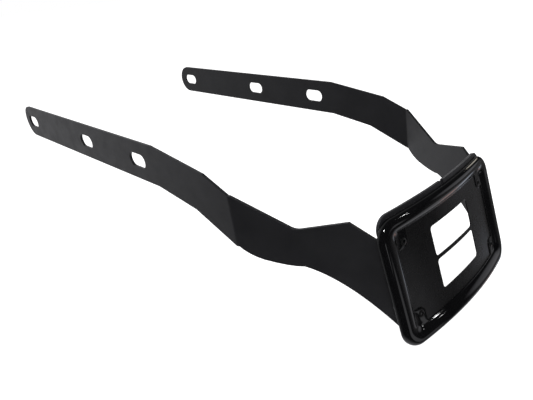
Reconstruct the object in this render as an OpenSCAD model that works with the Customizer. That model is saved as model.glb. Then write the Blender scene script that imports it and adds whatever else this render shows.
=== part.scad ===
// Side-strut tail tidy: two folded sheet-steel arms that bolt along a motorcycle's
// fender struts and carry a curved, tilted frame for a 7 x 4 inch number plate.
// Origin: centre of the frame's opening, midway through its lip. +X to the bike's right,
// +Y to the front, +Z up.

/* [Arms] */
// Thickness of the folded sheet
sheet_t = 3; // [2:0.5:4]
// Distance between the two arms, sheet centre to sheet centre
arm_spacing = 302; // [260:1:340]
// Width of the front strip
strip_w = 45; // [38:0.5:54]
// From the rearmost slot to the middle one
slot_pitch_rear = 127; // [100:1:150]
// From the middle slot to the front one
slot_pitch_front = 182; // [140:1:220]
// Width of a slot
slot_w = 16.6; // [12:0.1:18]
// Overall length of a slot
slot_l = 32.4; // [24:0.1:40]
// Centre of the rounded front end, ahead of the front slot
end_reach = 7; // [4:0.5:16]
// From the rearmost slot back to the fold
fold_back = 154; // [140:1:170]
// How far the rear panel turns inward
fold_angle = 26.5; // [20:0.5:32]
// Lean of the fold line
fold_lean = 5.3; // [0:0.1:8]
// Inside radius of every fold
bend_r = 4; // [2:0.5:6]

/* [Plate frame] */
// Overall width of the frame, measured along its curve
frame_w = 200; // [190:1:215]
// Overall height of the frame
frame_h = 120; // [114:1:130]
// Radius of the frame's outer corners
corner_r = 18.8; // [16:0.1:24]
// Radius of the frame's curve
curve_r = 455; // [350:5:800]
// Backward slope of the frame, its lower edge further back
tilt = 16.8; // [8:0.1:24]
// Width of the rounded bead round the edge
bead_w = 12.5; // [11:0.1:14]
// Height of the bead's crest over the seat
crest_h = 2.6; // [2:0.1:4]
// Thickness of the lip over the plate
lip_t = 2; // [1.5:0.1:3]
// Width of the frame's outer wall
wall_w = 8.5; // [7:0.1:9.5]
// Width of the opening that shows the plate
opening_w = 161; // [150:1:166]
// Radius of the pads round the plate screws
pad_r = 10; // [8:0.5:12]

/* [Plate and backing] */
// Spacing of the plate's holes across
plate_hole_x = 146; // [140:0.1:148]
// Spacing of the plate's holes upright
plate_hole_z = 69.9; // [66:0.1:73]
// Slot left for the number plate
plate_gap = 1; // [0.8:0.1:1.6]
// Thickness of the backing sheet
backing_t = 1.6; // [1.2:0.1:2.4]
// Clearance of the backing in the frame
backing_clear = 0.6; // [0.4:0.1:1]
// Width of the two windows
window_w = 76; // [60:1:84]
// Height of each window
window_h = 30; // [24:0.5:33]
// Width of the bar between the windows
window_bar = 3.2; // [2.6:0.1:6]
// Middle of the bar above the frame's middle
window_up = 2; // [0:0.5:4]

/* [Plate screws] */
// Diameter of the screws
screw_d = 6; // [5:0.5:6]
// Clearance of the screws in their holes, on the diameter
screw_clear = 0.6; // [0.4:0.1:1]
// Diameter of the domed heads
head_d = 10.5; // [9:0.1:11]
// Height of the domed heads
head_h = 3.3; // [2.4:0.1:3.6]
// Width across the flats of the nuts
nut_af = 10; // [9:0.1:10]
// Height of the nuts
nut_h = 5; // [4:0.1:6]

/* [Hidden] */
$fn = 96;

// Place of the rearmost slots, ahead of and above the origin
slot_ahead = 301;
slot_up = 74;

// Heights of the arm's corners against the middle of the strip, and their places
// behind the rearmost slot
top_drop = 12;
under_drop = 9.1;
kink_a = [-32, strip_w / 2];
kink_b = [-119, strip_w / 2 - top_drop];
fold_top = -2.5;
under_a = [-37, -strip_w / 2];
under_b = [-100.5, -strip_w / 2 - under_drop];
fold_bottom = -53.5;

// Outline of the rear panel: reach behind the fold, height against the strip's middle
valley = [58, -36.2];
valley_r = 14;
toe = [11, -61.2];
heel = [24, -67];
ear_tip = [105.8, -29.1];
saddle = [46, -71.8];
arch_start = [62, -72.8];
arch_mid = [104.8, -96.8];

// Ends of the rear fold, as heights on the flange
bend_v_top = 47;
bend_v_bottom = -54;

// Levels through the frame, counted outward from the seat: the curved surface midway through the lip
lip_top = lip_t / 2;
lip_under = -lip_t / 2;
backing_top = lip_under - plate_gap;
backing_under = backing_top - backing_t;
flange_under = backing_under - sheet_t;
flange_mid = backing_under - sheet_t / 2;

// How far the flat sheets run into a fold, and how much the fold is smaller all round,
// so that the two make one solid with clean edges
fold_reach = 0.1;
fold_ease = 0.02;

// Overlap that makes one solid of two stretches of the same piece
seam = 0.5;

// Reach of the tools that cut the curved sheets, from the seat to either side
cut_reach = 30;

// How far the screws' ends stand out of their nuts
screw_past = 1;

// The flange behind the frame
flange_gap = 4;
flange_proud = 4;
flange_low = 2;
flange_out = 14.3;
flange_r = 14;
flange_window_margin = 7;
flange_end_lap = 2;

half_w = frame_w / 2;
half_h = frame_h / 2;
bend_from = half_w - corner_r;
curve_angle = bend_from / curve_r * 180 / PI;
opening_h = frame_h - 2 * bead_w;
opening_r = 5;
window_r = 3.5;
bead_edge_r = 4;
bead_edge_drop = 1;
bead_dome_r = 16;
backing_r = 10;

// Directions of the panel and of the flange's flat end, for the arm on +X
function unit(v) = v / norm(v);
fold_point = [arm_spacing / 2, slot_ahead - fold_back, slot_up];
panel_run = [-sin(fold_angle), -cos(fold_angle) * cos(fold_lean), cos(fold_angle) * sin(fold_lean)];
panel_rise = [0, sin(fold_lean), cos(fold_lean)];
panel_out = [cos(fold_angle), -sin(fold_angle) * cos(fold_lean), sin(fold_angle) * sin(fold_lean)];
flange_x = [cos(curve_angle), sin(curve_angle) * cos(tilt), -sin(curve_angle) * sin(tilt)];
flange_z = [0, sin(tilt), cos(tilt)];
flange_n = [sin(curve_angle), -cos(curve_angle) * cos(tilt), cos(curve_angle) * sin(tilt)];
curve_drop = curve_r - curve_r * cos(curve_angle);
end_origin = [curve_r * sin(curve_angle), curve_drop * cos(tilt), -curve_drop * sin(tilt)];
flange_origin = end_origin + flange_mid * flange_n;

// The rear fold runs where the panel's plane meets the flange's plane
rear_line = unit(cross(flange_n, panel_out));
rear_point = flange_origin
    + (panel_out * (fold_point - flange_origin)) / (panel_out * flange_x) * flange_x;
rear_in = cross(panel_out, rear_line);
rear_off = cross(flange_n, rear_line);
rear_angle = acos(rear_in * rear_off);
mid_r = bend_r + sheet_t / 2;
rear_setback = mid_r * tan(rear_angle / 2);
fold_setback = mid_r * tan(fold_angle / 2);
rear_flat = rear_setback - fold_reach;

// A point of the rear fold line at height v on the flange, in the panel's or flange's own plane
function rear_at(v) = rear_point + v / (rear_line * flange_z) * rear_line;
function on_panel(p) = [(p - fold_point) * panel_run, (p - fold_point) * panel_rise];
function on_flange(p) = [(p - flange_origin) * flange_x, (p - flange_origin) * flange_z];

// Points of an arc about c from angle a to angle b
function arc(c, r, a, b, n) = [for (i = [0:n]) c + r * [cos(a + (b - a) * i / n), sin(a + (b - a) * i / n)]];

// Arc of radius r that rounds the corner b between a and c, with n steps
function fillet(a, b, c, r, n) =
    let (u = unit(a - b), w = unit(c - b), half = acos(u * w) / 2)
    let (reach = r / tan(half), m = b + unit(u + w) * r / sin(half))
    let (s = b + u * reach - m, e = b + w * reach - m)
    let (s_a = atan2(s[1], s[0]), sweep = atan2(s[0] * e[1] - s[1] * e[0], s * e))
    arc(m, r, s_a, s_a + sweep, n);

// Smooth curve through the three points p, q and r, with n steps
function through(p, q, r, n) =
    let (c = 2 * q - (p + r) / 2)
    [for (i = [0:n]) let (k = i / n) (1 - k) * (1 - k) * p + 2 * k * (1 - k) * c + k * k * r];

// Row frame to the seat's frame: x across, -y outward from the seat, z up the slope
module on_seat() {
    rotate([-tilt, 0, 0]) children();
}

// The flat end of the frame on side s, its x counted from where the curve stops
module on_end(s) {
    mirror([s < 0 ? 1 : 0, 0, 0])
        translate([0, curve_r, 0]) rotate([0, 0, curve_angle]) translate([0, -curve_r, 0]) children();
}

// A curved sheet between levels low and high, and heights z0 and z1, over the curve
module curved_sheet(low, high, z0, z1, a0, a1) {
    translate([0, curve_r, 0]) rotate([0, 0, -90 + a0])
        rotate_extrude(angle = a1 - a0, $fn = 360)
            translate([curve_r + low, z0]) square([high - low, z1 - z0]);
}

// A rectangle w by h about the origin with corners of radius r
module rounded(w, h, r) {
    square([w - 2 * r, h], center = true);
    square([w, h - 2 * r], center = true);
    for (x = [-1, 1], y = [-1, 1]) translate([x * (w / 2 - r), y * (h / 2 - r)]) circle(r);
}

// A drawing in x and z pushed along y from y0 to y1
module upright(y0, y1) {
    translate([0, y1, 0]) rotate([90, 0, 0]) linear_extrude(y1 - y0) children();
}

// Every plate screw's place: its axis leaves the seat at a right angle to the curve
module at_screws() {
    for (s = [-1, 1], z = [-1, 1])
        translate([0, curve_r, z * plate_hole_z / 2])
            rotate([0, 0, s * plate_hole_x / 2 / curve_r * 180 / PI]) translate([0, -curve_r, 0])
                rotate([90, 0, 0]) children();
}

module screw_holes() {
    at_screws() cylinder(d = screw_d + screw_clear, h = 2 * cut_reach, center = true);
}

// Section of the bead: x outward from its inner edge, y the level
module bead_section() {
    intersection() {
        union() {
            translate([0, lip_under]) square([bead_w - bead_edge_r, crest_h - lip_under]);
            translate([bead_w - wall_w, backing_under])
                square([wall_w, crest_h - bead_edge_drop - bead_edge_r - backing_under]);
            translate([bead_w - bead_edge_r, crest_h - bead_edge_drop - bead_edge_r]) circle(bead_edge_r);
        }
        union() {
            translate([bead_w / 2, crest_h - bead_dome_r]) circle(bead_dome_r);
            translate([0, backing_under]) square([bead_w, crest_h - bead_edge_r - backing_under]);
        }
        translate([0, backing_under]) square([bead_w, crest_h - backing_under]);
    }
}

module bead() {
    for (m = [0, 1]) mirror([0, 0, m])
        translate([0, curve_r, 0]) rotate([0, 0, -90 - curve_angle])
            rotate_extrude(angle = 2 * curve_angle, $fn = 360)
                translate([curve_r, half_h - bead_w]) mirror([1, -1]) bead_section();
    for (s = [-1, 1]) on_end(s) {
        linear_extrude(frame_h - 2 * corner_r, center = true)
            translate([corner_r - bead_w, 0]) mirror([0, 1]) bead_section();
        for (m = [0, 1]) mirror([0, 0, m]) translate([0, 0, half_h - corner_r])
            rotate([90, 0, 0]) rotate_extrude(angle = 90)
                translate([corner_r - bead_w, 0]) bead_section();
    }
}

// What is left open in the lip: a rounded window less the four screw pads. Above and
// below it runs in under the bead, whose inner face is the edge there
module opening_outline() {
    difference() {
        rounded(opening_w, opening_h + 2 * seam, opening_r);
        for (s = [-1, 1], z = [-1, 1]) translate([s * plate_hole_x / 2, z * plate_hole_z / 2]) {
            circle(pad_r);
            translate([s > 0 ? 0 : -pad_r, z > 0 ? -pad_r : 0]) square([pad_r, pad_r]);
            translate([-pad_r, z > 0 ? 0 : -pad_r * 1.5]) square([pad_r * 2, pad_r * 1.5]);
        }
    }
}

module lip_sheet() {
    reach = half_h - bead_w / 2;
    curved_sheet(lip_under, lip_top, -reach, reach, -curve_angle, curve_angle);
    for (s = [-1, 1]) on_end(s)
        translate([-seam, -lip_top, -half_h + corner_r])
            cube([corner_r - bead_w / 2 + seam, lip_t, frame_h - 2 * corner_r]);
    for (s = [-1, 1]) on_end(s)
        for (m = [0, 1]) mirror([0, 0, m]) translate([0, 0, half_h - corner_r])
            rotate([90, 0, 0]) translate([0, 0, lip_under]) cylinder(r = corner_r - bead_w / 2, h = lip_t);
}

// Glossy frame: rounded bead, lip, pads for the plate's screws and a pocket behind
module plate_frame() {
    color("#0b0b0d") on_seat() difference() {
        union() {
            bead();
            difference() {
                lip_sheet();
                upright(-cut_reach, cut_reach) opening_outline();
            }
        }
        screw_holes();
    }
}

// Backing sheet with its two windows, a loose fit in the frame's pocket
module backing_plate() {
    back_h = frame_h - 2 * wall_w - 2 * backing_clear;
    back_end = corner_r - wall_w - backing_clear;
    color("#1c1d20") on_seat() difference() {
        union() {
            curved_sheet(backing_under, backing_top, -back_h / 2, back_h / 2, -curve_angle, curve_angle);
            for (s = [-1, 1]) on_end(s) upright(-backing_top, -backing_under) intersection() {
                rounded(2 * back_end, back_h, min(backing_r, back_end - seam));
                translate([-seam / 50, -half_h]) square([corner_r, frame_h]);
            }
        }
        upright(-cut_reach, cut_reach) for (z = [-1, 1])
            translate([0, window_up + z * (window_h + window_bar) / 2]) rounded(window_w, window_h, window_r);
        screw_holes();
    }
}

// Domed screws through pad, backing and flange
module plate_screws() {
    shank = lip_top - flange_under + nut_h + screw_past;
    dome_r = (head_d * head_d / 4 + head_h * head_h) / (2 * head_h);
    color("#101012") on_seat() at_screws() {
        translate([0, 0, lip_top - shank]) cylinder(d = screw_d, h = shank);
        translate([0, 0, lip_top]) intersection() {
            cylinder(d = head_d, h = head_h);
            translate([0, 0, head_h - dome_r]) sphere(dome_r);
        }
    }
}

// Nuts on the hollow side of the curved flange, so only their corners touch it
module plate_nuts() {
    corner = nut_af / 2 / cos(30);
    nut_top = flange_under - corner * corner / (2 * curve_r);
    color("#3a3b3e") on_seat() at_screws() translate([0, 0, nut_top - nut_h]) difference() {
        cylinder(r = corner, h = nut_h, $fn = 6);
        translate([0, 0, -seam]) cylinder(d = screw_d, h = nut_h + 2 * seam);
    }
}

// Slot with round ends, along y, cut through the strip at place y
module slot_cut(y) {
    run = (slot_l - slot_w) / 2;
    translate([arm_spacing / 2, y, slot_up]) rotate([0, 90, 0]) {
        for (k = [-1, 1]) translate([0, k * run, 0]) cylinder(d = slot_w, h = 2 * sheet_t, center = true);
        cube([slot_w, 2 * run, 2 * sheet_t], center = true);
    }
}

// Front strip, its outline in y and z, up to where the fold begins
module strip() {
    lean = [sin(fold_lean), cos(fold_lean)];
    back = [fold_point[1], fold_point[2]] + (fold_setback - fold_reach) * [cos(fold_lean), -sin(fold_lean)];
    base = [slot_ahead, slot_up];
    front = [slot_pitch_rear + slot_pitch_front + end_reach, 0];
    outline = [
        back + fold_top * lean, base + kink_b, base + kink_a, base + front + [0, strip_w / 2],
        base + front - [0, strip_w / 2], base + under_a, base + under_b, back + fold_bottom * lean
    ];
    translate([arm_spacing / 2 - sheet_t / 2, 0, 0]) rotate([90, 0, 90]) {
        linear_extrude(sheet_t) polygon(outline);
        translate(base + front) cylinder(d = strip_w, h = sheet_t);
    }
}

module front_fold() {
    translate(fold_point) rotate([-fold_lean, 0, 0]) translate([-mid_r, fold_setback, 0])
        rotate([0, 0, -fold_angle]) rotate_extrude(angle = fold_angle)
            translate([bend_r + fold_ease, fold_bottom + fold_ease])
                square([sheet_t - 2 * fold_ease, fold_top - fold_bottom - 2 * fold_ease]);
}

// Rear panel: dipped top edge with a pointed ear, arched lower edge, leaning rear edge
module panel() {
    top_end = on_panel(rear_at(bend_v_top) - rear_flat * rear_in);
    low_end = on_panel(rear_at(bend_v_bottom) - rear_flat * rear_in);
    top_start = [fold_setback - fold_reach, fold_top];
    low_start = [fold_setback - fold_reach, fold_bottom];
    outline = concat(
        [top_start], fillet(top_start, valley, ear_tip, valley_r, 8), [ear_tip, top_end, low_end],
        through(low_end, arch_mid, arch_start, 14), through(arch_start, saddle, heel, 4),
        through(heel, toe, low_start, 6)
    );
    translate(fold_point) rotate([-fold_lean, 0, 0]) rotate([0, 0, -fold_angle])
        translate([-sheet_t / 2, 0, 0]) rotate([90, 0, 90]) linear_extrude(sheet_t)
            polygon([for (p = outline) [-p[0], p[1]]]);
}

module rear_fold() {
    p = rear_at(0) - rear_setback * rear_in - mid_r * panel_out;
    up = bend_v_top / (rear_line * flange_z);
    down = -bend_v_bottom / (rear_line * flange_z);
    z_dir = -rear_line;
    y_dir = cross(z_dir, panel_out);
    multmatrix([
        [panel_out[0], y_dir[0], z_dir[0], p[0]],
        [panel_out[1], y_dir[1], z_dir[1], p[1]],
        [panel_out[2], y_dir[2], z_dir[2], p[2]],
        [0, 0, 0, 1]
    ]) rotate_extrude(angle = rear_angle) translate([bend_r + fold_ease, fold_ease - up])
        square([sheet_t - 2 * fold_ease, up + down - 2 * fold_ease]);
}

// Flange behind one half of the frame, clear of the windows
module flange() {
    v_top = half_h + flange_proud;
    v_low = -half_h + flange_low;
    near_top = on_flange(rear_at(bend_v_top) + rear_flat * rear_off);
    near_low = on_flange(rear_at(bend_v_bottom) + rear_flat * rear_off);
    past = on_flange(rear_at(2 * v_low) + rear_flat * rear_off);
    flange_end = bend_v_top + flange_end_lap;
    first = asin((flange_gap / 2) / curve_r);
    on_seat() difference() {
        union() {
            curved_sheet(flange_under, backing_under, v_low, v_top, first, curve_angle);
            on_end(1) upright(-backing_under, -flange_under) intersection() {
                polygon(concat(
                    [[-bead_w, v_low], [near_low[0], v_low], near_low, near_top, [flange_out, flange_end]],
                    arc([flange_out - flange_r, v_top - flange_r], flange_r, 0, 90, 12), [[-bead_w, v_top]]
                ));
                translate([-seam / 50, v_low]) square([2 * flange_out, v_top - v_low]);
            }
        }
        on_end(1) upright(-cut_reach, cut_reach)
            polygon([near_top, near_low, past, past + [half_w, 0], [half_w, near_top[1]]]);
        upright(-cut_reach, cut_reach) translate([0, window_up])
            rounded(window_w + 2 * flange_window_margin,
                2 * window_h + window_bar + 2 * flange_window_margin, window_r + flange_window_margin);
        screw_holes();
    }
}

module arm() {
    color("#1d1e20") {
        difference() {
            strip();
            slot_cut(slot_ahead);
            slot_cut(slot_ahead + slot_pitch_rear);
            slot_cut(slot_ahead + slot_pitch_rear + slot_pitch_front);
        }
        front_fold();
        panel();
        rear_fold();
        flange();
    }
}

module right_arm() {
    arm();
}

module left_arm() {
    mirror([1, 0, 0]) arm();
}

left_arm();
right_arm();
plate_frame();
backing_plate();
plate_screws();
plate_nuts();
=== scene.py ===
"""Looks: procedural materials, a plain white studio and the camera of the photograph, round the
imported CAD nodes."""
import math

import bmesh
import bpy
from mathutils import Matrix, Vector
from mathutils.geometry import delaunay_2d_cdt


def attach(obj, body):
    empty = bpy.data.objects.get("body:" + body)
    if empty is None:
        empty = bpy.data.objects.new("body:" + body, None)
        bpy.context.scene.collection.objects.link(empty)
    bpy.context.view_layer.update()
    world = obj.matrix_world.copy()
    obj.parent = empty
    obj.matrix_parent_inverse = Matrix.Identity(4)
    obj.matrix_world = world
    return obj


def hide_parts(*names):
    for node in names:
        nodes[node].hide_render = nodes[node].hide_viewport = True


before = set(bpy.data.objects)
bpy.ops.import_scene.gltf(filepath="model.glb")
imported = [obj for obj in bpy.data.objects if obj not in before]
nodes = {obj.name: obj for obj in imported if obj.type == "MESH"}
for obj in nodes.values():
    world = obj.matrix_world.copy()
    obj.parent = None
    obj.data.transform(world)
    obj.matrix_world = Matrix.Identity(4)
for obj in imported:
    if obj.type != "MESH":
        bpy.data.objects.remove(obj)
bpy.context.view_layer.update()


# Shader helpers
def new_material(name):
    mat = bpy.data.materials.new(name)
    mat.use_nodes = True
    mat.node_tree.nodes.clear()
    return mat, mat.node_tree.nodes, mat.node_tree.links


def node(nodes_, kind, **values):
    made = nodes_.new(kind)
    for key, value in values.items():
        if key in made.inputs:
            made.inputs[key].default_value = value
        else:
            setattr(made, key, value)
    return made


def ramp(nodes_, links, source, low, high, dark, light):
    """Maps a value between two stops to a grey or a colour."""
    made = nodes_.new("ShaderNodeValToRGB")
    made.color_ramp.elements[0].position = low
    made.color_ramp.elements[1].position = high
    made.color_ramp.elements[0].color = (*dark, 1)
    made.color_ramp.elements[1].color = (*light, 1)
    links.new(source, made.inputs["Fac"])
    return made.outputs["Color"]


def grey(value):
    return (value, value, value)


def noise(nodes_, links, coords, scale, detail=4.0, rough=0.55):
    made = node(nodes_, "ShaderNodeTexNoise", Scale=scale, Detail=detail, Roughness=rough)
    links.new(coords, made.inputs["Vector"])
    return made.outputs["Fac"]


def rounded_edges(nodes_, radius):
    """Normal that rounds the edges in the shading alone."""
    return node(nodes_, "ShaderNodeBevel", samples=6, Radius=radius).outputs["Normal"]


def coated(name, dark, light, gloss, specular, grain, soft_edge, wave=None):
    """A painted or moulded black: cloudy colour and roughness, fine grain and a longer wave as
    bump, edges rounded by soft_edge. gloss is (least, most) roughness. grain and wave are (scale
    per metre, height in metres)."""
    mat, ns, links = new_material(name)
    coords = ns.new("ShaderNodeTexCoord").outputs["Object"]
    shader = node(ns, "ShaderNodeBsdfPrincipled")
    shader.inputs["Specular IOR Level"].default_value = specular
    out = ns.new("ShaderNodeOutputMaterial")
    cloud = noise(ns, links, coords, 28.0, 5.0)
    colour = ramp(ns, links, cloud, 0.35, 0.65, dark, light)
    links.new(colour, shader.inputs["Base Color"])
    smear = noise(ns, links, coords, 60.0, 6.0, 0.6)
    roughness = ramp(ns, links, smear, 0.3, 0.7, grey(gloss[0]), grey(gloss[1]))
    links.new(roughness, shader.inputs["Roughness"])
    normal = rounded_edges(ns, soft_edge)
    for layer in (wave, grain):
        if layer is None:
            continue
        bump = node(ns, "ShaderNodeBump", Strength=1.0, Distance=layer[1])
        links.new(noise(ns, links, coords, layer[0], 2.0), bump.inputs["Height"])
        links.new(normal, bump.inputs["Normal"])
        normal = bump.outputs["Normal"]
    links.new(normal, shader.inputs["Normal"])
    links.new(shader.outputs["BSDF"], out.inputs["Surface"])
    return mat


def steel(name):
    """Zinc-plated steel, cloudy in colour and in polish."""
    mat, ns, links = new_material(name)
    coords = ns.new("ShaderNodeTexCoord").outputs["Object"]
    shader = node(ns, "ShaderNodeBsdfPrincipled", Metallic=1.0)
    out = ns.new("ShaderNodeOutputMaterial")
    cloud = noise(ns, links, coords, 240.0)
    colour = ramp(ns, links, cloud, 0.3, 0.7, (0.3, 0.3, 0.29), (0.5, 0.5, 0.49))
    links.new(colour, shader.inputs["Base Color"])
    marks = noise(ns, links, coords, 1500.0, 6.0)
    roughness = ramp(ns, links, marks, 0.3, 0.7, grey(0.28), grey(0.46))
    links.new(roughness, shader.inputs["Roughness"])
    links.new(rounded_edges(ns, 0.0003), shader.inputs["Normal"])
    links.new(shader.outputs["BSDF"], out.inputs["Surface"])
    return mat


def dress(name, mat):
    """Gives a CAD node its look; its mesh stays as packed."""
    piece = nodes[name]
    piece.data.materials.clear()
    piece.data.materials.append(mat)
    for face in piece.data.polygons:
        face.material_index = 0


# Materials
powder = coated(
    "arm powder coat", dark=(0.0085, 0.0085, 0.0102), light=(0.0115, 0.0115, 0.0135),
    gloss=(0.36, 0.46), specular=0.5, grain=(5200.0, 0.000012), soft_edge=0.0006,
    wave=(900.0, 0.00001))
gloss = coated(
    "frame gloss", dark=(0.0022, 0.0022, 0.0026), light=(0.0034, 0.0034, 0.0038),
    gloss=(0.03, 0.08), specular=0.5, grain=(2600.0, 0.0000015), soft_edge=0.0005,
    wave=(130.0, 0.00001))
backing = coated(
    "backing satin", dark=(0.0034, 0.0033, 0.0036), light=(0.0050, 0.0049, 0.0053),
    gloss=(0.24, 0.31), specular=0.4, grain=(5200.0, 0.0000008), soft_edge=0.0003)
oxide = coated(
    "screw black", dark=(0.003, 0.003, 0.003), light=(0.006, 0.006, 0.006),
    gloss=(0.26, 0.4), specular=0.4, grain=(3800.0, 0.000006), soft_edge=0.0004)
zinc = steel("nut zinc")

for arm in ("left_arm", "right_arm"):
    dress(arm, powder)
dress("plate_nuts", zinc)

# The plate frame, its backing and its screws, finer than their solids. Lengths in millimetres:
# u runs across along the curve, v up the slope, w outward from the curved seat
CURVE_R = 455.0
TILT = math.radians(16.8)
FRAME_W, FRAME_H, CORNER_R = 200.0, 120.0, 18.8
FLAT_FROM = FRAME_W / 2 - CORNER_R
# Bead: its width, the width of the wall round the pocket, the crest's level and place
BEAD_W, WALL_W = 12.5, 8.5
CREST, CREST_IN = 2.6, 7.5
# How far the slope between crest and lip turns, as a sine
SLOPE_BEND = 0.62
LIP_TOP, LIP_UNDER, LIP_EASE = -1.7, -2.58, 0.6
BACK_TOP, BACK_UNDER = -2.6, -3.6
# Opening in the lip, and the foot of the bead's slope, which stands a little past it all round
OPEN_W, OPEN_H, OPEN_R = 161.0, 90.0, 4.0
FOOT_W, FOOT_H, FOOT_R = 162.4, 91.4, 6.0
HOLE_U, HOLE_V, PAD_R = 73.0, 34.95, 6.0
SHEET_W, SHEET_H, SHEET_R = 181.4, 101.8, 9.0
WINDOW_W, WINDOW_H, WINDOW_BAR, WINDOW_UP, WINDOW_R = 70.0, 29.0, 3.4, 1.0, 3.5
WINDOW_MIDDLES = [WINDOW_UP + s * (WINDOW_H + WINDOW_BAR) / 2 for s in (1, -1)]
# Screws: head with a straight edge and a dome, its hexagon socket, and the shank
HEAD_R, HEAD_H, HEAD_UNDER, HEAD_EDGE = 3.4, 0.8, 0.02, 0.3
SHANK_R, SHANK_END = 3.0, -12.6
SOCKET_RIM, SOCKET_R, SOCKET_DRAFT, SOCKET_EASE, SOCKET_DEPTH = 1.9, 1.6, 0.05, 0.25, 1.2
SHARP_ANGLE = math.radians(40.0)
QUARTERS = ((1, 1), (-1, 1), (-1, -1), (1, -1))


def seat(u, v, w):
    """Point of the row frame, in metres, for a place on the curved and tilted seat."""
    side = -1.0 if u < 0 else 1.0
    along = min(abs(u), FLAT_FROM)
    past = abs(u) - along
    turn = along / CURVE_R
    x = side * ((CURVE_R + w) * math.sin(turn) + past * math.cos(turn))
    y = CURVE_R - (CURVE_R + w) * math.cos(turn) + past * math.sin(turn)
    ahead = y * math.cos(TILT) + v * math.sin(TILT)
    rise = -y * math.sin(TILT) + v * math.cos(TILT)
    return Vector((x, ahead, rise)) / 1000


def rounded_inside(u, v, width, height, radius):
    """True inside a rounded rectangle round the middle."""
    du = max(abs(u) - width / 2 + radius, 0.0)
    dv = max(abs(v) - height / 2 + radius, 0.0)
    return math.hypot(du, dv) <= radius


def in_opening(u, v):
    """True inside the opening, which the four pads round the screws cut into."""
    if not rounded_inside(u, v, OPEN_W, OPEN_H, OPEN_R):
        return False
    du, dv = abs(u) - HOLE_U, abs(v) - HOLE_V
    beside = (du > 0 and dv > -PAD_R) or (dv > 0 and du > -PAD_R)
    return not (math.hypot(du, dv) < PAD_R or beside)


def ray_point(u, v, inside):
    """Where the ray from the middle through (u, v) leaves an outline."""
    low, high = 0.0, 1.3
    for _ in range(30):
        mid = (low + high) / 2
        if inside(u * mid, v * mid):
            low = mid
        else:
            high = mid
    return u * low, v * low


def in_foot(u, v):
    """True inside the line where the bead's slope reaches the lip."""
    return rounded_inside(u, v, FOOT_W, FOOT_H, FOOT_R)


def loop_stations(width, height, radius, corner_steps, side_step):
    """Places and outward directions round a rounded rectangle, about side_step apart."""
    flat_u, flat_v = width / 2 - radius, height / 2 - radius
    out = []
    for quarter, (su, sv) in enumerate(QUARTERS):
        for k in range(corner_steps + 1):
            a = math.radians(90 * quarter + 90 * k / corner_steps)
            nu, nv = math.cos(a), math.sin(a)
            out.append((su * flat_u + radius * nu, sv * flat_v + radius * nv, nu, nv))
        level = quarter % 2 == 0
        length = 2 * (flat_u if level else flat_v)
        along_u, along_v = (-su, 0) if level else (0, -sv)
        u, v, nu, nv = out[-1]
        count = max(int(length / side_step), 1)
        for k in range(1, count):
            done = length * k / count
            out.append((u + along_u * done, v + along_v * done, nu, nv))
    return out


def slope(part):
    """Level between the slope's foot at the lip (0) and the crest (1), a rounded fall."""
    fallen = 1 - math.sqrt(1 - ((1 - part) * SLOPE_BEND) ** 2)
    whole = 1 - math.sqrt(1 - SLOPE_BEND ** 2)
    return CREST + (LIP_TOP - CREST) * fallen / whole


def outer_profile():
    """The bead's section from the crest down the outer wall: places out from its inner edge."""
    turn_r = BEAD_W - CREST_IN
    steps = 16
    out = []
    for k in range(1, steps + 1):
        a = math.radians(90 * k / steps)
        out.append((CREST_IN + turn_r * math.sin(a), CREST - turn_r + turn_r * math.cos(a)))
    return out


def mesh_piece(name, verts, faces, mat, stands_for):
    """A piece from vertices and faces, which rides on the body and replaces a CAD node."""
    mesh = bpy.data.meshes.new(name)
    mesh.from_pydata(verts, [], faces)
    mesh.validate()
    mesh.materials.append(mat)
    work = bmesh.new()
    work.from_mesh(mesh)
    bmesh.ops.recalc_face_normals(work, faces=work.faces)
    work.to_mesh(mesh)
    work.free()
    mesh.shade_smooth()
    mesh.set_sharp_from_angle(angle=SHARP_ANGLE)
    piece = bpy.data.objects.new(name, mesh)
    bpy.context.scene.collection.objects.link(piece)
    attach(piece, "root")
    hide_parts(stands_for)


def frame_ring(u, v, nu, nv, profile):
    """The frame's section at one place of the bead's inner edge, as points (u, v, w)."""
    ou, ov = ray_point(u, v, in_opening)
    fu, fv = ray_point(u, v, in_foot)
    cu, cv = u + nu * CREST_IN, v + nv * CREST_IN
    reach = math.hypot(u, v)
    du, dv = u / reach, v / reach
    ring = [(ou, ov, LIP_UNDER), (ou, ov, LIP_TOP - LIP_EASE)]
    for a in (math.radians(22.5 * k) for k in (1, 2, 3)):
        back = LIP_EASE * (1 - math.cos(a))
        ring.append((ou + du * back, ov + dv * back, LIP_TOP - LIP_EASE * (1 - math.sin(a))))
    ring.append((ou + du * LIP_EASE, ov + dv * LIP_EASE, LIP_TOP))
    ring.append(((ou + fu + du * LIP_EASE) / 2, (ov + fv + dv * LIP_EASE) / 2, LIP_TOP))
    slope_steps = 16
    for k in range(slope_steps + 1):
        part = k / slope_steps
        ring.append((fu + (cu - fu) * part, fv + (cv - fv) * part, slope(part)))
    pocket = BEAD_W - WALL_W
    walls = [(BEAD_W, BACK_UNDER), (pocket, BACK_UNDER), (pocket, LIP_UNDER)]
    for out, w in profile + walls:
        ring.append((u + nu * out, v + nv * out, w))
    return ring


def frame_piece():
    """One closed skin: lip, slope, outer wall, pocket and the lip's underside."""
    profile = outer_profile()
    inner_w, inner_h = FRAME_W - 2 * BEAD_W, FRAME_H - 2 * BEAD_W
    rings = [frame_ring(*station, profile)
             for station in loop_stations(inner_w, inner_h, CORNER_R - BEAD_W, 20, 1.0)]
    count = len(rings[0])
    verts = [seat(*place) for ring in rings for place in ring]
    faces = []
    for i in range(len(rings)):
        here, there = i * count, (i + 1) % len(rings) * count
        for k in range(count):
            m = (k + 1) % count
            faces.append((here + k, there + k, there + m, here + m))
    mesh_piece("bead_frame", verts, faces, gloss, "plate_frame")


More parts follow.
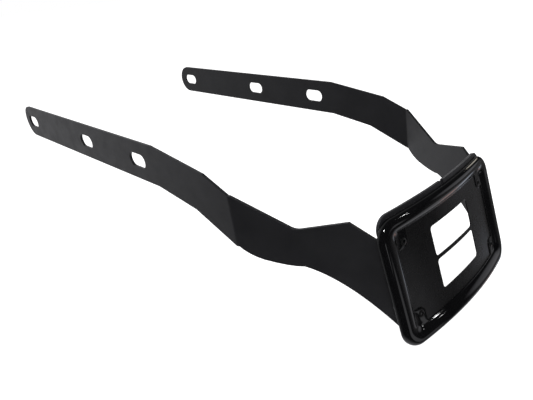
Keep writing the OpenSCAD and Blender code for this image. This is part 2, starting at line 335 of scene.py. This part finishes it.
def in_sheet(u, v, edge=0.0, side_u=0.0, side_v=0.0):
    """True on the backing sheet, edge or more inside its outline and side_u, side_v or more
    outside its windows."""
    if not rounded_inside(u, v, SHEET_W - 2 * edge, SHEET_H - 2 * edge, SHEET_R):
        return False
    return not any(
        rounded_inside(u, v - middle, WINDOW_W + 2 * side_u, WINDOW_H + 2 * side_v, WINDOW_R)
        for middle in WINDOW_MIDDLES)


def sheet_piece():
    """Backing sheet: curved like the seat, with two rounded windows."""
    loops = [[(u, v) for u, v, _, _ in loop_stations(SHEET_W, SHEET_H, SHEET_R, 10, 4.0)]]
    for middle in WINDOW_MIDDLES:
        around = loop_stations(WINDOW_W, WINDOW_H, WINDOW_R, 8, 3.0)
        loops.append([(u, v + middle) for u, v, _, _ in around])
    points, edges = [], []
    for loop in loops:
        first = len(points)
        points.extend(loop)
        edges.extend((first + k, first + (k + 1) % len(loop)) for k in range(len(loop)))
    grid_u, grid_v = 4.0, 8.0
    for i in range(-22, 23):
        for j in range(-6, 7):
            if in_sheet(i * grid_u, j * grid_v, 3.0, 2.0, 1.5):
                points.append((i * grid_u, j * grid_v))
    flat, _, triangles = delaunay_2d_cdt([Vector(p) for p in points], edges, [], 0, 1e-6)[:3]
    cells = []
    for triangle in triangles:
        middle_u = sum(flat[i][0] for i in triangle) / 3
        middle_v = sum(flat[i][1] for i in triangle) / 3
        if in_sheet(middle_u, middle_v):
            cells.append(tuple(triangle))
    total = len(flat)
    verts = [seat(place[0], place[1], w) for w in (BACK_TOP, BACK_UNDER) for place in flat]
    faces = cells + [tuple(i + total for i in reversed(cell)) for cell in cells]
    sides = [side for a, b, c in cells for side in ((a, b), (b, c), (c, a))]
    inner = set(sides)
    faces += [(b, a, a + total, b + total) for a, b in sides if (b, a) not in inner]
    mesh_piece("backing_sheet", verts, faces, backing, "backing_plate")


def screw_rings():
    """The screw's section from the shank's end to the socket's floor: radius, level, whether
    the ring is a hexagon."""
    dome_r = (HEAD_R ** 2 + HEAD_H ** 2) / (2 * HEAD_H)
    edge_top = LIP_TOP + HEAD_EDGE
    rings = [(SHANK_R, SHANK_END, False), (SHANK_R, LIP_TOP, False),
             (HEAD_R, LIP_TOP + HEAD_UNDER, False), (HEAD_R, edge_top, False)]
    steps = 8
    for k in range(1, steps + 1):
        r = HEAD_R + (SOCKET_RIM - HEAD_R) * k / steps
        rings.append((r, edge_top + HEAD_H - dome_r + math.sqrt(dome_r ** 2 - r ** 2), False))
    top = rings[-1][1]
    return rings + [(SOCKET_R, top, True), (SOCKET_R - SOCKET_DRAFT, top - SOCKET_EASE, True),
                    (SOCKET_R - 2 * SOCKET_DRAFT, top - SOCKET_DEPTH, True)]


def screws_piece():
    """Four domed screws with a hexagon socket, each on its pad's face."""
    rings = screw_rings()
    segments = 48
    sixth = math.pi / 3
    verts, faces = [], []
    for su in (-1, 1):
        for sv in (-1, 1):
            first = len(verts)
            for r, w, hexagon in rings:
                for k in range(segments):
                    a = 2 * math.pi * k / segments
                    off_flat = (a + sixth / 2) % sixth - sixth / 2
                    reach = r / math.cos(off_flat) if hexagon else r
                    u, v = reach * math.cos(a), reach * math.sin(a)
                    verts.append(seat(su * HOLE_U + u, sv * HOLE_V + v, w))
            last = first + (len(rings) - 1) * segments
            for low in range(first, last, segments):
                for k in range(segments):
                    m = (k + 1) % segments
                    faces.append((low + k, low + m, low + segments + m, low + segments + k))
            faces.append(tuple(last + k for k in range(segments)))
            faces.append(tuple(first + k for k in reversed(range(segments))))
    mesh_piece("domed_screws", verts, faces, oxide, "plate_screws")


frame_piece()
sheet_piece()
screws_piece()


# Studio
def white_floor():
    """White floor that keeps the object's shadow, white where the camera looks."""
    size, height = 12.0, -0.12
    mesh = bpy.data.meshes.new("floor")
    corners = [(size * su, size * sv, height) for su, sv in QUARTERS]
    mesh.from_pydata(corners, [], [(0, 1, 2, 3)])
    floor = bpy.data.objects.new("floor", mesh)
    bpy.context.scene.collection.objects.link(floor)
    mat, ns, links = new_material("floor white")
    diffuse = node(ns, "ShaderNodeBsdfDiffuse", Color=(0.8, 0.8, 0.8, 1))
    glow = node(ns, "ShaderNodeEmission", Color=(1, 1, 1, 1))
    both = ns.new("ShaderNodeAddShader")
    path = ns.new("ShaderNodeLightPath")
    lift = node(ns, "ShaderNodeMath", operation="MULTIPLY")
    lift.inputs[1].default_value = FLOOR_LIFT
    links.new(path.outputs["Is Camera Ray"], lift.inputs[0])
    links.new(lift.outputs[0], glow.inputs["Strength"])
    out = ns.new("ShaderNodeOutputMaterial")
    links.new(diffuse.outputs["BSDF"], both.inputs[0])
    links.new(glow.outputs["Emission"], both.inputs[1])
    links.new(both.outputs["Shader"], out.inputs["Surface"])
    mesh.materials.append(mat)
    floor.visible_glossy = False


def glow_toward(ns, links, coords, direction, outer, inner, colour):
    """Light that grows with the nearness of a mirrored direction, from outer to inner (cosines)."""
    toward = node(ns, "ShaderNodeVectorMath", operation="DOT_PRODUCT")
    toward.inputs[1].default_value = Vector(direction).normalized()
    links.new(coords, toward.inputs[0])
    part = node(ns, "ShaderNodeMapRange", interpolation_type="SMOOTHSTEP")
    part.inputs["From Min"].default_value = outer
    part.inputs["From Max"].default_value = inner
    links.new(toward.outputs["Value"], part.inputs["Value"])
    light = node(ns, "ShaderNodeBackground", Color=(*colour, 1))
    links.new(part.outputs["Result"], light.inputs["Strength"])
    return light.outputs[0]


def surroundings():
    """White where the camera looks, a dark room with a few bright places in reflections, even
    light elsewhere."""
    world = bpy.data.worlds.new("studio")
    bpy.context.scene.world = world
    world.use_nodes = True
    ns, links = world.node_tree.nodes, world.node_tree.links
    ns.clear()
    path = ns.new("ShaderNodeLightPath")
    coords = ns.new("ShaderNodeTexCoord").outputs["Generated"]
    even = node(ns, "ShaderNodeBackground", Color=(1, 1, 1, 1), Strength=ROOM_LIGHT)
    seen = node(ns, "ShaderNodeBackground", Color=(1, 1, 1, 1), Strength=1.0)
    mirrored = node(ns, "ShaderNodeBackground", Color=(1, 1, 1, 1), Strength=ROOM_DARK).outputs[0]
    for glow in ROOM_GLOWS:
        add = ns.new("ShaderNodeAddShader")
        links.new(mirrored, add.inputs[0])
        links.new(glow_toward(ns, links, coords, *glow), add.inputs[1])
        mirrored = add.outputs[0]
    first = ns.new("ShaderNodeMixShader")
    second = ns.new("ShaderNodeMixShader")
    links.new(path.outputs["Is Glossy Ray"], first.inputs["Fac"])
    links.new(even.outputs[0], first.inputs[1])
    links.new(mirrored, first.inputs[2])
    links.new(path.outputs["Is Camera Ray"], second.inputs["Fac"])
    links.new(first.outputs[0], second.inputs[1])
    links.new(seen.outputs[0], second.inputs[2])
    out = ns.new("ShaderNodeOutputWorld")
    links.new(second.outputs[0], out.inputs["Surface"])


def softbox(name, place, target, width, height, watts, colour=(1, 1, 1)):
    """Rectangular lamp turned to its target."""
    light = bpy.data.lights.new(name, "AREA")
    light.color = colour
    light.shape = "RECTANGLE"
    light.size = width
    light.size_y = height
    light.energy = watts
    lamp = bpy.data.objects.new(name, light)
    lamp.location = place
    away = Vector(target) - Vector(place)
    lamp.rotation_euler = away.to_track_quat("-Z", "Y").to_euler()
    bpy.context.scene.collection.objects.link(lamp)


FLOOR_LIFT = 0.75
ROOM_DARK = 0.02
ROOM_LIGHT = 0.6
# Places of the room that the paint mirrors: direction, outer and inner cosine, colour. A wide
# bright side behind the arms, the white backdrop, the white table, and small windows and lamps
ROOM_GLOWS = [
    ((0.1, 0.99, 0.1), 0.25, 1.0, (0.6, 0.6, 0.62)),
    ((0.602, 0.668, -0.437), 0.76, 0.9, (0.7, 0.7, 0.72)),
    ((0.0, 0.0, -1.0), 0.5, 0.95, (0.55, 0.55, 0.58)),
    ((0.75, -0.3, -0.6), 0.945, 0.985, (0.34, 0.34, 0.36)),
    ((0.86, -0.45, 0.1), 0.95, 0.99, (0.5, 0.5, 0.53)),
    ((0.9, -0.3, -0.3), 0.86, 1.0, (0.09, 0.088, 0.09)),
    ((0.47, -0.84, -0.29), 0.988, 0.997, (0.5, 0.5, 0.52)),
    ((0.88, -0.2, -0.42), 0.996, 0.999, (0.55, 0.62, 0.75)),
    ((0.83, -0.26, -0.52), 0.997, 0.9992, (0.6, 0.22, 0.14)),
    ((-0.04, -0.99, -0.07), 0.995, 0.999, (1.4, 1.4, 1.45)),
]
FRAME_MIDDLE = (0, 0.0, 0.05)
white_floor()
surroundings()
softbox("key", (-0.9, -0.5, 1.5), (0, 0.1, 0), 0.22, 0.22, 14.0)
softbox("fill", (0.91, -0.76, 1.17), FRAME_MIDDLE, 0.06, 0.06, 0.8)
softbox("second_fill", (0.92, -1.1, 0.86), FRAME_MIDDLE, 0.04, 0.04, 0.2)
softbox("side", (1.6, 0.15, 0.68), FRAME_MIDDLE, 0.3, 0.2, 0.4, (1.0, 0.93, 0.8))

# Camera fitted to the photograph: where it stands, its right-hand side and its back
CAMERA_PLACE = Vector((-0.3826, -0.1600, 0.2491))
CAMERA_RIGHT = Vector((0.70673, -0.70069, -0.09775))
CAMERA_BACK = Vector((-0.6022, -0.66831, 0.4367))
cam_data = bpy.data.cameras.new("photo_camera")
cam_data.sensor_fit = "HORIZONTAL"
cam_data.sensor_width = 36.0
cam_data.lens = 31.85
cam_data.clip_start = 0.01
cam = bpy.data.objects.new("photo_camera", cam_data)
back = CAMERA_BACK.normalized()
up = back.cross(CAMERA_RIGHT).normalized()
turned = Matrix((up.cross(back), up, back)).transposed()
cam.matrix_world = Matrix.Translation(CAMERA_PLACE) @ turned.to_4x4()
bpy.context.scene.collection.objects.link(cam)
bpy.context.scene.camera = cam
bpy.context.scene.view_settings.view_transform = "Standard"
